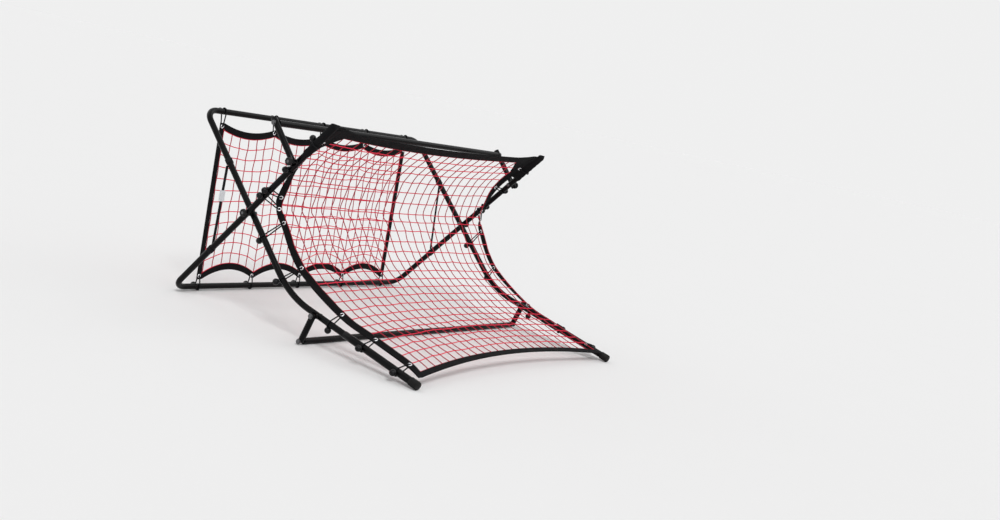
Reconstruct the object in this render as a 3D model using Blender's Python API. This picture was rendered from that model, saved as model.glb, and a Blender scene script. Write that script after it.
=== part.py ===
# Folding soccer rebounder: two crossed tube frames, a front foot, an upper
# spreader, a concave front net and a flat rear net on elastic ball ties.
# Metres, +Z up, +X to the right, the front net faces -Y.
import math

import bmesh
import bpy
from mathutils import Vector

# Tubes
tube_diameter = 0.019
tube_sides = 16
corner_radius = 0.045
corner_steps = 5
fit_gap = 0.0003
frame_gap = 0.003
spigot_length = 0.040
spigot_wall = 0.0015

# Brace frame: top rail, bent legs and front leg tubes
brace_width = 1.060
front_tip_y = -0.510
lower_length = 0.534
lower_slope = math.radians(11.4)
upper_length = 0.6807
upper_slope = math.radians(42.98)
bend_radius = 0.300
bend_steps = 7
top_rail_leg = 0.150
front_tube_start = 0.240
front_tube_wall = 0.0012
front_tube_insert = 0.050
cap_wall = 0.0015
cap_length = 0.030
cap_cut = 0.0007

# Upright frame: base rail and straight uprights
base_rail_y = 0.490
upright_length = 0.8217
upright_slope = math.radians(48.83)
base_rail_leg = 0.150

# Foot and spreader
foot_station = 0.1266
foot_lean = math.radians(17.81)
spreader_station = 0.6540
spreader_arm_length = 0.134
spreader_angle = math.radians(45.6)
arm_tail = 0.010
arm_overrun = 0.018
ground_height = 0.0
ground_block = 0.1
bore_overrun = 0.002
shoulder_step = 0.0002

# Bolts
bolt_diameter = 0.006
bolt_sides = 10
head_radius = 0.0068
head_height = 0.0042
knob_radius = 0.0125
knob_height = 0.011
nut_radius = 0.0066
nut_height = 0.0052
screw_depth = 0.030
washer_radius = 0.0085

# Nets and webbing
webbing_width = 0.022
top_webbing_width = 0.036
webbing_thickness = 0.0016
strand_width = 0.0045
strand_thickness = 0.0022
front_columns = 12
front_rows = 12
rear_columns = 16
rear_rows = 5
top_sag = 0.028
bottom_sag = 0.052
web_gap = 0.0016
scallop_gap = 0.0012

# Elastic ties
cord_diameter = 0.004
cord_sides = 5
cord_cut = 0.0005
ball_diameter = 0.020
tie_hole_radius = 0.0030
tie_end_radius = 0.0055
tie_step = math.radians(36)
ball_mouth = math.radians(15)

# Rear net
corner_clearance = 0.030
rear_ties = 5
hem_steps = 6
hole_reach = 0.005
top_tie_drop = 0.047
top_scallop = 0.020
base_tie_rise = 0.034
base_scallop = 0.032

# Check straps
strap_width = 0.014
strap_thickness = 0.0015
strap_station = 0.191
strap_steps = 4

# Front ties, from the top down: place along the tube, how far the eyelet stands
# inboard of the tube, and how far off the frame's plane
upright_tie_places = ((0.338, 0.033, -0.008), (0.215, 0.034, -0.013), (0.1135, 0.034, 0.022),
                      (0.0885, 0.034, 0.046))
brace_tie_places = ((0.0853, 0.020, 0.077), (0.2330, 0.028, 0.060))
front_tie_places = ((0.178, 0.036, 0.028), (0.318, 0.040, 0.022), (0.455, 0.042, 0.018))
tip_clearance = 0.004
top_edge_inset = 0.012
bottom_edge_inset = 0.020
bottom_edge_rise = 0.014
edge_steps = 8
slope_step = 0.002
pocket_wall = 0.0015
pocket_length = 0.055

tube_radius = tube_diameter / 2
cord_radius = cord_diameter / 2
ball_radius = ball_diameter / 2
front_tube_radius = tube_radius + fit_gap + front_tube_wall
cap_radius = front_tube_radius + fit_gap + cap_wall
brace_x = brace_width / 2
rear_half_width = brace_x - corner_radius - corner_clearance
upright_x = brace_x + tube_diameter + frame_gap
spreader_x = upright_x + tube_diameter + frame_gap
cord_flat = cord_radius * math.cos(math.pi / cord_sides)
tube_flat = tube_radius * math.cos(math.pi / tube_sides)
base_loop = (tube_radius + fit_gap + cord_radius) / math.cos(tie_step / 2)


for old in list(bpy.data.objects):
    bpy.data.objects.remove(old, do_unlink=True)


def material(name, colour, roughness, metallic=0.0):
    made = bpy.data.materials.new(name)
    made.use_nodes = True
    shader = made.node_tree.nodes["Principled BSDF"]
    shader.inputs["Base Color"].default_value = (*colour, 1.0)
    shader.inputs["Roughness"].default_value = roughness
    shader.inputs["Metallic"].default_value = metallic
    return made


black_paint = material("black_paint", (0.012, 0.012, 0.013), 0.28)
black_webbing = material("black_webbing", (0.012, 0.012, 0.012), 0.85)
black_plastic = material("black_plastic", (0.02, 0.02, 0.02), 0.45)
black_rubber = material("black_rubber", (0.02, 0.02, 0.02), 0.8)
red_net = material("red_net", (0.55, 0.03, 0.04), 0.75)
zinc = material("zinc", (0.62, 0.62, 0.64), 0.32, 1.0)


# Side plane: a point is (y, z)
def heading(angle):
    return Vector((math.cos(angle), math.sin(angle)))


def at(x, point):
    return Vector((x, point[0], point[1]))


def line_crossing(start_a, along_a, start_b, along_b):
    cross = along_a.x * along_b.y - along_a.y * along_b.x
    gap = start_b - start_a
    reach = (gap.x * along_b.y - gap.y * along_b.x) / cross
    return start_a + along_a * reach


upright_along = heading(math.pi - upright_slope)
brace_up = heading(upper_slope)
brace_down = -brace_up
brace_front = heading(math.pi + lower_slope)

base_rail = Vector((base_rail_y, base_loop + cord_flat - cord_cut))
upright_tip = base_rail + upright_along * upright_length
front_tip = Vector((front_tip_y, cap_radius - cap_cut))
brace_bend = front_tip - brace_front * lower_length
top_rail = brace_bend + brace_up * upper_length
scissor = line_crossing(base_rail, upright_along, top_rail, brace_down)

# The origin is midway between the front caps and the balls behind the top rail
rear_reach = top_rail.x + tube_radius + fit_gap + ball_diameter
front_reach = front_tip.x + brace_front.x * (cap_wall + fit_gap) - cap_radius * math.sin(lower_slope)
centre_shift = Vector((-(rear_reach + front_reach) / 2, 0.0))
for spot in (base_rail, upright_tip, front_tip, brace_bend, top_rail, scissor):
    spot += centre_shift

foot_pivot = brace_bend + brace_front * foot_station
foot_drop = foot_pivot.y - tube_flat
foot_cross = foot_pivot + Vector((foot_drop * math.tan(foot_lean), -foot_drop))
spreader_pivot = base_rail + upright_along * spreader_station
spreader_cross = spreader_pivot + heading(spreader_angle) * spreader_arm_length


# Mesh building
def finish(name, mesh, paint, smooth_angle=40):
    made = bpy.data.meshes.new(name)
    bmesh.ops.triangulate(mesh, faces=mesh.faces)
    bmesh.ops.recalc_face_normals(mesh, faces=mesh.faces)
    mesh.to_mesh(made)
    mesh.free()
    made.materials.append(paint)
    made.shade_smooth()
    made.set_sharp_from_angle(angle=math.radians(smooth_angle))
    thing = bpy.data.objects.new(name, made)
    bpy.context.collection.objects.link(thing)
    return thing


def directions(points):
    found = []
    for index in range(len(points)):
        before = points[max(index - 1, 0)]
        after = points[min(index + 1, len(points) - 1)]
        found.append((after - before).normalized())
    return found


def rounded(corners, radius, steps):
    path = [corners[0]]
    for before, corner, after in zip(corners, corners[1:], corners[2:]):
        inward = (before - corner).normalized()
        outward = (after - corner).normalized()
        half = inward.angle(outward) / 2
        centre = corner + (inward + outward).normalized() * radius / math.sin(half)
        start = corner + inward * radius / math.tan(half)
        end = corner + outward * radius / math.tan(half)
        turn = math.pi - 2 * half
        for step in range(steps + 1):
            share = step / steps
            weight_a = math.sin((1 - share) * turn) / math.sin(turn)
            weight_b = math.sin(share * turn) / math.sin(turn)
            path.append(centre + (start - centre) * weight_a + (end - centre) * weight_b)
    path.append(corners[-1])
    return path


def add_sweep(mesh, points, radii, sides, flat=None):
    along = directions(points)
    if flat is None:
        flat = along[0].orthogonal().normalized()
    rings = []
    for point, way, radius in zip(points, along, radii):
        flat = (flat - way * flat.dot(way)).normalized()
        across = way.cross(flat)
        ring = []
        for side in range(sides):
            angle = math.tau * (side + 0.5) / sides
            offset = flat * math.cos(angle) + across * math.sin(angle)
            ring.append(mesh.verts.new(point + offset * radius))
        rings.append(ring)
    for ring, following in zip(rings, rings[1:]):
        for side in range(sides):
            beside = (side + 1) % sides
            mesh.faces.new((ring[side], ring[beside], following[beside], following[side]))
    mesh.faces.new(rings[0])
    mesh.faces.new(rings[-1])


def tube(name, points, paint, radius=tube_radius, sides=tube_sides):
    mesh = bmesh.new()
    radii = radius if isinstance(radius, list) else [radius] * len(points)
    add_sweep(mesh, points, radii, sides)
    return finish(name, mesh, paint)


def combine(thing, tool, operation):
    tool.hide_render = True
    tool.display_type = "WIRE"
    change = thing.modifiers.new(tool.name, "BOOLEAN")
    change.operation = operation
    change.object = tool


def bore(thing, holes, sides=bolt_sides):
    mesh = bmesh.new()
    for start, end, radius in holes:
        add_sweep(mesh, [start, end], [radius, radius], sides)
    combine(thing, finish(thing.name + "_bores", mesh, black_plastic), "DIFFERENCE")


def flatten(thing, spot):
    # cuts off what would reach below the ground
    mesh = bmesh.new()
    bmesh.ops.create_cube(mesh, size=ground_block)
    for vertex in mesh.verts:
        vertex.co += Vector((spot.x, spot.y, ground_height - ground_block / 2))
    combine(thing, finish(thing.name + "_ground", mesh, black_plastic), "DIFFERENCE")


def add_turned(mesh, base, way, profile, sides):
    # profile: (distance along the axis, radius), from one closed end to the other
    points = [base + way * reach for reach, radius in profile]
    flat = way.orthogonal().normalized()
    across = way.cross(flat)
    rings = []
    for point, (reach, radius) in zip(points, profile):
        ring = []
        for side in range(sides):
            angle = math.tau * (side + 0.5) / sides
            ring.append(mesh.verts.new(point + (flat * math.cos(angle) + across * math.sin(angle)) * radius))
        rings.append(ring)
    for ring, following in zip(rings, rings[1:]):
        for side in range(sides):
            beside = (side + 1) % sides
            mesh.faces.new((ring[side], ring[beside], following[beside], following[side]))
    mesh.faces.new(rings[0])
    mesh.faces.new(rings[-1])


def add_ring(mesh, centre, way, inner, outer, height, sides):
    flat = way.orthogonal().normalized()
    across = way.cross(flat)
    loops = []
    for radius, reach in ((inner, 0), (outer, 0), (outer, height), (inner, height)):
        loop = []
        for side in range(sides):
            angle = math.tau * side / sides
            loop.append(mesh.verts.new(
                centre + way * reach + (flat * math.cos(angle) + across * math.sin(angle)) * radius))
        loops.append(loop)
    for index in range(4):
        loop = loops[index]
        following = loops[(index + 1) % 4]
        for side in range(sides):
            beside = (side + 1) % sides
            mesh.faces.new((loop[side], loop[beside], following[beside], following[side]))


def through_bolt(mesh, outer, inner, head_profile):
    # head outside, shank through both tubes, nut inside
    way = (inner - outer).normalized()
    shank = bolt_diameter / 2
    length = (inner - outer).length
    profile = [(-reach, radius) for reach, radius in reversed(head_profile)]
    profile += [(0, head_profile[0][1]), (0, shank)]
    profile += [(length, shank), (length, nut_radius), (length + nut_height, nut_radius)]
    add_turned(mesh, outer, way, profile, bolt_sides)


hex_head = [(head_height, head_radius)]
knob_head = [(knob_height * 0.3, knob_radius), (knob_height, knob_radius * 0.8)]


sides = (("left", -1), ("right", 1))


def mirrored(make):
    for side, sign in sides:
        make(side, sign)


# Brace frame
top_corner_left = at(-brace_x, top_rail)
top_corner_right = at(brace_x, top_rail)
rail_leg_end = top_rail + brace_down * top_rail_leg
spigot_radius = tube_radius - spigot_wall

top_rail_tube = tube("top_rail", rounded(
    [at(-brace_x, rail_leg_end), top_corner_left, top_corner_right, at(brace_x, rail_leg_end)],
    corner_radius, corner_steps), black_paint)
bore(top_rail_tube, [
    (at(x, rail_leg_end + brace_down * bore_overrun),
     at(x, rail_leg_end - brace_down * (spigot_length + fit_gap)), spigot_radius + fit_gap)
    for x in (-brace_x, brace_x)], tube_sides)


def brace_leg(side, sign):
    x = brace_x * sign
    shoulder = rail_leg_end + brace_down * fit_gap
    end = brace_bend + brace_front * (front_tube_start + front_tube_insert)
    bend = rounded([at(x, shoulder), at(x, brace_bend), at(x, end)], bend_radius, bend_steps)
    points = [at(x, shoulder - brace_down * spigot_length), at(x, shoulder - brace_down * shoulder_step)] + bend
    radii = [spigot_radius, spigot_radius] + [tube_radius] * len(bend)
    leg = tube("brace_leg_" + side, points, black_paint, radii)
    hole = bolt_diameter / 2 + fit_gap
    reach = tube_radius + bore_overrun
    bore(leg, [(at(x - reach, spot), at(x + reach, spot), hole) for spot in (scissor, foot_pivot)])


mirrored(brace_leg)


def front_leg(side, sign):
    x = brace_x * sign
    start = brace_bend + brace_front * front_tube_start
    leg = tube("front_leg_" + side, [at(x, start), at(x, front_tip)], black_paint, front_tube_radius)
    floor = start + brace_front * (front_tube_insert + fit_gap)
    bore(leg, [(at(x, start - brace_front * bore_overrun), at(x, floor), tube_radius + fit_gap)], tube_sides)


mirrored(front_leg)


def front_cap(side, sign):
    # a rubber cup over the tube end, flat where it meets the ground
    x = brace_x * sign
    mouth = front_tip - brace_front * (cap_length - cap_wall)
    end = front_tip + brace_front * (cap_wall + fit_gap)
    cap = tube("front_cap_" + side, [at(x, mouth), at(x, end)], black_rubber, cap_radius)
    bore(cap, [(at(x, mouth - brace_front * bore_overrun), at(x, front_tip + brace_front * fit_gap),
                front_tube_radius + fit_gap)], tube_sides)
    flatten(cap, at(x, front_tip))


mirrored(front_cap)

# Upright frame
base_leg_end = base_rail + upright_along * base_rail_leg
base_rail_tube = tube("base_rail", rounded(
    [at(-upright_x, base_leg_end), at(-upright_x, base_rail), at(upright_x, base_rail),
     at(upright_x, base_leg_end)], corner_radius, corner_steps), black_paint)
bore(base_rail_tube, [
    (at(x, base_leg_end + upright_along * bore_overrun),
     at(x, base_leg_end - upright_along * (spigot_length + fit_gap)), spigot_radius + fit_gap)
    for x in (-upright_x, upright_x)], tube_sides)


def upright(side, sign):
    x = upright_x * sign
    shoulder = base_leg_end + upright_along * fit_gap
    points = [at(x, shoulder - upright_along * spigot_length), at(x, shoulder - upright_along * shoulder_step),
              at(x, shoulder), at(x, upright_tip)]
    leg = tube("upright_" + side, points, black_paint,
               [spigot_radius, spigot_radius, tube_radius, tube_radius])
    hole = bolt_diameter / 2 + fit_gap
    reach = tube_radius + bore_overrun
    bore(leg, [(at(x - reach, spot), at(x + reach, spot), hole) for spot in (scissor, spreader_pivot)])


mirrored(upright)


# Foot and spreader: two arms outside the legs, a cross tube bolted between them
def arm_pair(label, x_arm, pivot, cross, overrun):
    way = (cross - pivot).normalized()
    hole = bolt_diameter / 2 + fit_gap
    reach = tube_radius + bore_overrun
    half = x_arm - tube_radius - fit_gap
    cross_tube = tube(label + "_cross_tube", [at(-half, cross), at(half, cross)], black_paint)
    bore(cross_tube, [(at((half + bore_overrun) * sign, cross), at((half - screw_depth - fit_gap) * sign, cross), hole)
                      for sign in (-1, 1)])
    for side, sign in sides:
        x = x_arm * sign
        arm = tube(label + "_arm_" + side, [at(x, pivot - way * arm_tail), at(x, cross + way * overrun)],
                   black_paint)
        bore(arm, [(at(x - reach, spot), at(x + reach, spot), hole) for spot in (pivot, cross)])
        outer = at((x_arm + tube_radius + fit_gap) * sign, cross)
        depth = 2 * (tube_radius + fit_gap) + screw_depth
        shank = bolt_diameter / 2
        mesh = bmesh.new()
        add_turned(mesh, outer, Vector((-sign, 0, 0)), [
            (-head_height, head_radius), (0, head_radius), (0, shank), (depth, shank)], bolt_sides)
        finish(label + "_tube_bolt_" + side, mesh, zinc)


arm_pair("spreader", spreader_x, spreader_pivot, spreader_cross, arm_overrun)
arm_pair("foot", upright_x, foot_pivot, foot_cross, 0.0)

# Pivot bolts, and the washers between the tubes
pivots = (
    ("scissor", scissor, brace_x, upright_x, knob_head),
    ("foot", foot_pivot, brace_x, upright_x, hex_head),
    ("spreader", spreader_pivot, upright_x, spreader_x, knob_head))
for label, spot, inner_x, outer_x, bolt_head in pivots:
    for side, sign in sides:
        mesh = bmesh.new()
        outer = at((outer_x + tube_radius + fit_gap) * sign, spot)
        inner = at((inner_x - tube_radius - fit_gap) * sign, spot)
        through_bolt(mesh, outer, inner, bolt_head)
        finish(label + "_pivot_bolt_" + side, mesh, zinc)
        mesh = bmesh.new()
        seat = at((inner_x + tube_radius + fit_gap) * sign, spot)
        add_ring(mesh, seat, Vector((sign, 0, 0)), bolt_diameter / 2 + fit_gap, washer_radius,
                 frame_gap - 2 * fit_gap, bolt_sides)
        finish(label + "_washer_" + side, mesh, black_plastic)


# Nets and webbing: sheets of cells, each cell solid or open
def lattice(name, point, lines_a, lines_b, is_solid, thickness, paint):
    mesh = bmesh.new()
    grid = []
    for a in range(lines_a):
        row = []
        for b in range(lines_b):
            middle = point(a, b)
            run_a = point(min(a + 1, lines_a - 1), b) - point(max(a - 1, 0), b)
            run_b = point(a, min(b + 1, lines_b - 1)) - point(a, max(b - 1, 0))
            normal = run_a.cross(run_b).normalized() * thickness / 2
            row.append((mesh.verts.new(middle - normal), mesh.verts.new(middle + normal)))
        grid.append(row)

    def filled(a, b):
        return 0 <= a < lines_a - 1 and 0 <= b < lines_b - 1 and is_solid(a, b)

    for a in range(lines_a - 1):
        for b in range(lines_b - 1):
            if not filled(a, b):
                continue
            around = [(a, b), (a + 1, b), (a + 1, b + 1), (a, b + 1)]
            for face in (0, 1):
                mesh.faces.new([grid[i][j][face] for i, j in around])
            beyond = [(a, b - 1), (a + 1, b), (a, b + 1), (a - 1, b)]
            for index, (i, j) in enumerate(beyond):
                if filled(i, j):
                    continue
                start = around[index]
                end = around[(index + 1) % 4]
                mesh.faces.new((grid[start[0]][start[1]][0], grid[end[0]][end[1]][0],
                                grid[end[0]][end[1]][1], grid[start[0]][start[1]][1]))
    return finish(name, mesh, paint)


def net(name, surface, columns, rows, paint):
    # surface(u, v) gives strand centre lines; every cell of the lattice that
    # lies between two strands both ways is a gap
    def point(a, b):
        u = -1 + 2 * (a // 2) / columns
        v = (b // 2) / rows
        low_u = max(u - slope_step, -1)
        high_u = min(u + slope_step, 1)
        low_v = max(v - slope_step, 0)
        high_v = min(v + slope_step, 1)
        run_u = (surface(high_u, v) - surface(low_u, v)).normalized()
        run_v = (surface(u, high_v) - surface(u, low_v)).normalized()
        shift_u = strand_width / 2 * (1 if a % 2 else -1)
        shift_v = strand_width / 2 * (1 if b % 2 else -1)
        return surface(u, v) + run_u * shift_u + run_v * shift_v

    return lattice(name, point, 2 * columns + 2, 2 * rows + 2,
                   lambda a, b: a % 2 == 0 or b % 2 == 0, strand_thickness, paint)


def sheet(name, surface, steps_a, steps_b, paint):
    return lattice(name, lambda a, b: surface(a / steps_a, b / steps_b), steps_a + 1, steps_b + 1,
                   lambda a, b: True, webbing_thickness, paint)


# A tie is an elastic cord that passes round a tube and through the webbing,
# with both ends in a ball
def add_tie(cords, balls, seat, eye, axis, ball_side):
    loop_radius = (tube_radius + fit_gap + cord_radius) / math.cos(tie_step / 2)
    toward = eye - seat
    toward -= axis * toward.dot(axis)
    reach = toward.length
    toward.normalize()
    across = axis.cross(toward)
    ball_angle = math.atan2(ball_side.dot(across), ball_side.dot(toward)) % math.tau

    def on_loop(angle):
        return seat + (toward * math.cos(angle) + across * math.sin(angle)) * loop_radius

    def arc(start, end):
        count = max(1, math.ceil(abs(end - start) / tie_step - 0.01))
        return [on_loop(start + (end - start) * step / count) for step in range(count + 1)]

    side_turn = math.radians(90)
    first = ball_angle - ball_mouth
    last = ball_angle + ball_mouth - math.tau
    points = arc(first, side_turn) if first > side_turn else [on_loop(first)]
    centre = seat + toward * (reach - tie_end_radius)
    for turn in (80, 35, -35, -80):
        angle = math.radians(turn)
        points.append(centre + (toward * math.cos(angle) + across * math.sin(angle)) * tie_end_radius)
    points += arc(-side_turn, last) if last < -side_turn else [on_loop(last)]
    add_sweep(cords, points, [cord_radius] * len(points), cord_sides, (points[0] - seat).normalized())
    middle = toward * math.cos(ball_angle) + across * math.sin(ball_angle)
    made = bmesh.ops.create_icosphere(balls, subdivisions=2, radius=ball_radius)
    for vertex in made["verts"]:
        vertex.co += seat + middle * (tube_radius + fit_gap + ball_radius)


# Front net: its side edges run through the ties on both frames
def smooth(points, pulls, steps):
    dense = []
    count = len(points)
    for index in range(count - 1):
        near = [max(index - 1, 0), index, index + 1, min(index + 2, count - 1)]
        for step in range(steps):
            t = step / steps
            weights = (-t ** 3 + 2 * t ** 2 - t, 3 * t ** 3 - 5 * t ** 2 + 2,
                       -3 * t ** 3 + 4 * t ** 2 + t, t ** 3 - t ** 2)
            spot = Vector((0, 0, 0))
            pull = Vector((0, 0, 0))
            for weight, which in zip(weights, near):
                spot += points[which] * weight / 2
                pull += pulls[which] * weight / 2
            dense.append((spot, pull))
    dense.append((points[-1], pulls[-1]))
    return dense


upright_front = Vector((-upright_along.y, upright_along.x))
upright_front *= -1 if upright_front.x > 0 else 1
brace_over = Vector((-brace_up.y, brace_up.x))
front_over = Vector((brace_front.y, -brace_front.x))

out = Vector((1, 0, 0))
front_ties = []
for places, origin, along, over, x_tube in (
        (upright_tie_places, scissor, upright_along, upright_front, upright_x),
        (brace_tie_places, scissor, brace_down, brace_over, brace_x),
        (front_tie_places, brace_bend, brace_front, front_over, brace_x)):
    for station, inboard, lift in places:
        spot = origin + along * station
        front_ties.append((at(x_tube, spot), at(x_tube - inboard, spot + over * lift)))

pocket_radius = tube_radius + fit_gap + pocket_wall
half_web = webbing_width / 2
half_top_web = top_webbing_width / 2
corner_x = upright_x - pocket_radius - fit_gap - half_web
tip_x = brace_x - cap_radius - half_web - tip_clearance
top_start = upright_tip - upright_along * top_edge_inset
bottom_end = front_tip - brace_front * bottom_edge_inset + front_over * bottom_edge_rise
side_points = [at(corner_x, top_start)] + [eye for seat, eye in front_ties] + [at(tip_x, bottom_end)]
side_pulls = [out] + [(seat - eye).normalized() for seat, eye in front_ties] + [out]
side_line = smooth(side_points, side_pulls, edge_steps)
net_inset = half_web + web_gap + strand_width / 2
top_inset = half_top_web + web_gap + strand_width / 2


def measured(line):
    lengths = [0.0]
    for before, after in zip(line, line[1:]):
        lengths.append(lengths[-1] + (after[0] - before[0]).length)
    return lengths


def read_line(line, lengths, distance):
    distance = min(max(distance, 0.0), lengths[-1])
    index = 0
    while lengths[index + 1] < distance and index < len(lengths) - 2:
        index += 1
    share = (distance - lengths[index]) / (lengths[index + 1] - lengths[index])
    spot = line[index][0].lerp(line[index + 1][0], share)
    pull = line[index][1].lerp(line[index + 1][1], share)
    return spot, pull.normalized()


# The side webbing bends where the net's rows reach it, on both sides of a strand
side_lengths = measured(side_line)
side_total = side_lengths[-1]
row_start = half_top_web + top_inset
row_end = side_total - half_web - net_inset
stations = [0.0]
for row in range(front_rows + 1):
    middle = row_start + (row_end - row_start) * row / front_rows
    stations += [middle - strand_width / 2, middle + strand_width / 2]
stations.append(side_total)
side_bends = [read_line(side_line, side_lengths, station) for station in stations]


def on_side(distance):
    distance = min(max(distance, 0.0), side_total)
    index = 0
    while stations[index + 1] < distance and index < len(stations) - 2:
        index += 1
    share = (distance - stations[index]) / (stations[index + 1] - stations[index])
    spot = side_bends[index][0].lerp(side_bends[index + 1][0], share)
    pull = side_bends[index][1].lerp(side_bends[index + 1][1], share)
    return spot, pull.normalized()


def front_at(u, distance, inset):
    spot, pull = on_side(distance)
    inner = spot - pull * inset
    return Vector((u * inner.x, inner.y, inner.z))


def top_line(u):
    return half_top_web + top_sag * (1 - u * u)


def bottom_line(u):
    return side_total - half_web - bottom_sag * (1 - u * u)


def front_surface(u, v):
    start = top_line(u) + top_inset
    end = bottom_line(u) - net_inset
    return front_at(u, start + (end - start) * v, net_inset)


net("front_net", front_surface, front_columns, front_rows, red_net)
sheet("front_band_top", lambda a, b: front_at(
    2 * a - 1, top_line(2 * a - 1) + (b - 0.5) * top_webbing_width, half_web + fit_gap),
    front_columns, 1, black_webbing)
sheet("front_band_bottom", lambda a, b: front_at(
    2 * a - 1, bottom_line(2 * a - 1) + (b - 0.5) * webbing_width, half_web + fit_gap),
    front_columns, 1, black_webbing)


def front_side_band(side, sign):
    def edge(a, b):
        spot, pull = side_bends[a]
        spot = spot + pull * (b - 0.5) * webbing_width
        return Vector((spot.x * sign, spot.y, spot.z))

    lattice("front_band_" + side, edge, len(side_bends), 2, lambda a, b: True,
            webbing_thickness, black_webbing)


mirrored(front_side_band)


def corner_pocket(side, sign):
    x = upright_x * sign
    mouth = upright_tip - upright_along * pocket_length
    end = upright_tip + upright_along * (pocket_wall + fit_gap)
    pocket = tube("corner_pocket_" + side, [at(x, mouth), at(x, end)], black_webbing, pocket_radius)
    bore(pocket, [(at(x, mouth - upright_along * bore_overrun), at(x, upright_tip + upright_along * fit_gap),
                   tube_radius + fit_gap)], tube_sides)


mirrored(corner_pocket)

# Rear net, flat between the top rail and the base rail
top_eye = top_rail.y - top_tie_drop
base_eye = base_rail.y + base_tie_rise
tie_spacing = 2 * rear_half_width / (rear_ties - 1)
band_half = rear_half_width - half_web - fit_gap


def rear_at(x, z):
    share = (z - base_rail.y) / (top_rail.y - base_rail.y)
    return Vector((x, base_rail.x + (top_rail.x - base_rail.x) * share, z))


def scallop(x):
    # straight between the webbing's bends, as the mesh is
    place = (x / band_half + 1) * rear_columns / 2
    low = min(max(math.floor(place), 0), rear_columns - 1)
    heights = []
    for bend in (low, low + 1):
        share = (bend * (rear_ties - 1) / rear_columns) % 1
        heights.append(4 * share * (1 - share))
    return heights[0] + (heights[1] - heights[0]) * (place - low)


def rear_top(x):
    return top_eye - top_scallop * scallop(x)


def rear_base(x):
    return base_eye + base_scallop * scallop(x)


net_half = rear_half_width - net_inset


def rear_surface(u, v):
    x = u * net_half
    start = rear_top(x) - half_web - scallop_gap - strand_width / 2
    end = rear_base(x) + half_web + scallop_gap + strand_width / 2
    return rear_at(x, start + (end - start) * v)


net("rear_net", rear_surface, rear_columns, rear_rows, red_net)
rear_band_top = sheet("rear_band_top", lambda a, b: rear_at(
    (2 * a - 1) * band_half, rear_top((2 * a - 1) * band_half) + (b - 0.5) * webbing_width),
    rear_columns, 1, black_webbing)
rear_band_base = sheet("rear_band_base", lambda a, b: rear_at(
    (2 * a - 1) * band_half, rear_base((2 * a - 1) * band_half) + (b - 0.5) * webbing_width),
    rear_columns, 1, black_webbing)


def rear_hem(side, sign):
    low = base_eye - half_web
    high = top_eye + half_web
    hem = sheet("rear_hem_" + side, lambda a, b: rear_at(
        (rear_half_width + (b - 0.5) * webbing_width) * sign, low + (high - low) * a), hem_steps, 1, black_webbing)
    x = rear_half_width * sign
    bore(hem, [tie_hole(x, base_eye), tie_hole(x, top_eye)])


def tie_hole(x, z):
    middle = rear_at(x, z)
    through = Vector((0, hole_reach, 0))
    return middle - through, middle + through, tie_hole_radius


mirrored(rear_hem)
inner_ties = [-rear_half_width + tie_spacing * number for number in range(1, rear_ties - 1)]
bore(rear_band_top, [tie_hole(x, top_eye) for x in inner_ties])
bore(rear_band_base, [tie_hole(x, base_eye) for x in inner_ties])
for number in range(rear_ties):
    x = -rear_half_width + tie_spacing * number
    for label, rail, eye_height in (("top", top_rail, top_eye), ("base", base_rail, base_eye)):
        cords = bmesh.new()
        balls = bmesh.new()
        add_tie(cords, balls, at(x, rail), rear_at(x, eye_height), Vector((1, 0, 0)), Vector((0, 1, 0)))
        tie = finish("%s_tie_%d" % (label, number + 1), cords, black_rubber)
        combine(tie, finish(tie.name + "_ball", balls, black_plastic), "UNION")
        if label == "base":
            flatten(tie, at(x, rail))


# Check straps hold the frames open at the rear
def check_strap(side, sign):
    x = (brace_x + upright_x) / 2 * sign
    upper = scissor + brace_up * strap_station
    lower = scissor - upright_along * strap_station
    way = (lower - upper).normalized()
    clear_upper = (tube_radius + fit_gap) / abs(way.x * brace_up.y - way.y * brace_up.x)
    clear_lower = (tube_radius + fit_gap) / abs(way.x * upright_along.y - way.y * upright_along.x)
    start = upper + way * clear_upper
    end = lower - way * clear_lower
    sheet("check_strap_" + side, lambda a, b: at(
        x + (b - 0.5) * strap_width, start + (end - start) * a), strap_steps, 1, black_webbing)


mirrored(check_strap)
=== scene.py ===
# Folding soccer rebounder, dressed over its CAD frame: metres, +Z up, front net towards -Y
import math
import random

import bmesh
import bpy
from mathutils import Matrix, Vector


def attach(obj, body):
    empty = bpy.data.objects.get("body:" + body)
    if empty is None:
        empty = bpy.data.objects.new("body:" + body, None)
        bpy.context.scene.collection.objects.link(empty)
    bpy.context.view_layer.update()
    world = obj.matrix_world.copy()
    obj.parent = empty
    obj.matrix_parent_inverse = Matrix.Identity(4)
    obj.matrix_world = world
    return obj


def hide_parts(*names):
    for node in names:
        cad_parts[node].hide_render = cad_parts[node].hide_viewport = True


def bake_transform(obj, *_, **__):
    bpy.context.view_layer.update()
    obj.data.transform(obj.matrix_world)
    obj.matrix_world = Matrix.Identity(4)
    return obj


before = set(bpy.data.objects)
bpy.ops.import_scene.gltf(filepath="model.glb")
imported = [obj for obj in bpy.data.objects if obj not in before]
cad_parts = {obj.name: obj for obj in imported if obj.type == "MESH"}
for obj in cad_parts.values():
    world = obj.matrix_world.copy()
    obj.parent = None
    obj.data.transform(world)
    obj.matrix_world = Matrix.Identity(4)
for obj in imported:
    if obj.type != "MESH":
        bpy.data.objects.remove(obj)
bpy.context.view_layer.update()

print("frame loaded:", len(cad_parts), "nodes")


# Shader graphs


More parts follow.
